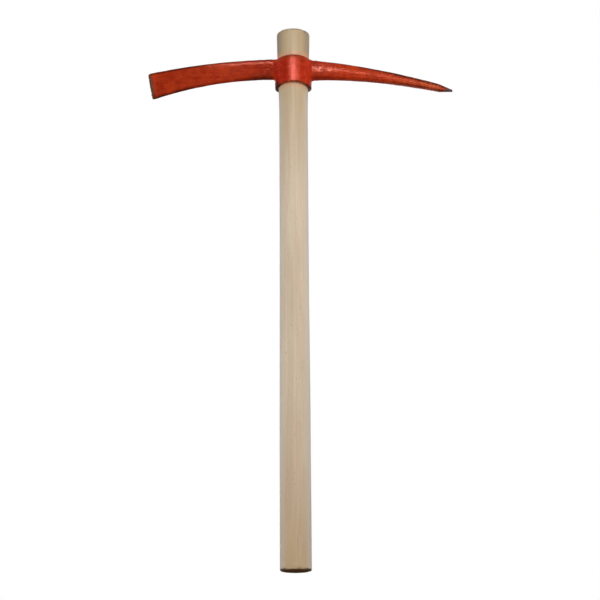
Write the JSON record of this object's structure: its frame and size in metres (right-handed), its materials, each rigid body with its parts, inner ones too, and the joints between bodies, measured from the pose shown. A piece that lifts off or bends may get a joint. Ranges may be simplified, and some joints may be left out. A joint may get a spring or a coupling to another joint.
{
  "type": "pick axe",
  "caption": "Pick axe: red enamelled forged head with a blade and a curved point, slipped onto the tapered end of a plain oval wooden handle.",
  "frame": {"origin": "centre of the flat butt of the handle", "axes": "+Z along the handle towards the head, +X towards the point, -X towards the blade, -Y towards the picture's viewer"},
  "size_m": [0.505, 0.0576, 0.9],
  "materials": {
    "beech": "raw, planed and lightly sanded",
    "red_enamel": "semi-gloss enamel on forged steel, bare at the point and the cutting edge"
  },
  "bodies": {
    "handle": {"handle": "beech"},
    "head": {"pick_head": "red_enamel"}
  },
  "joints": [
    {"name": "head_slide", "type": "slide", "parent": "handle", "child": "head", "axis": [0, 0, -1], "range_m": [0, 0.775]}
  ]
}
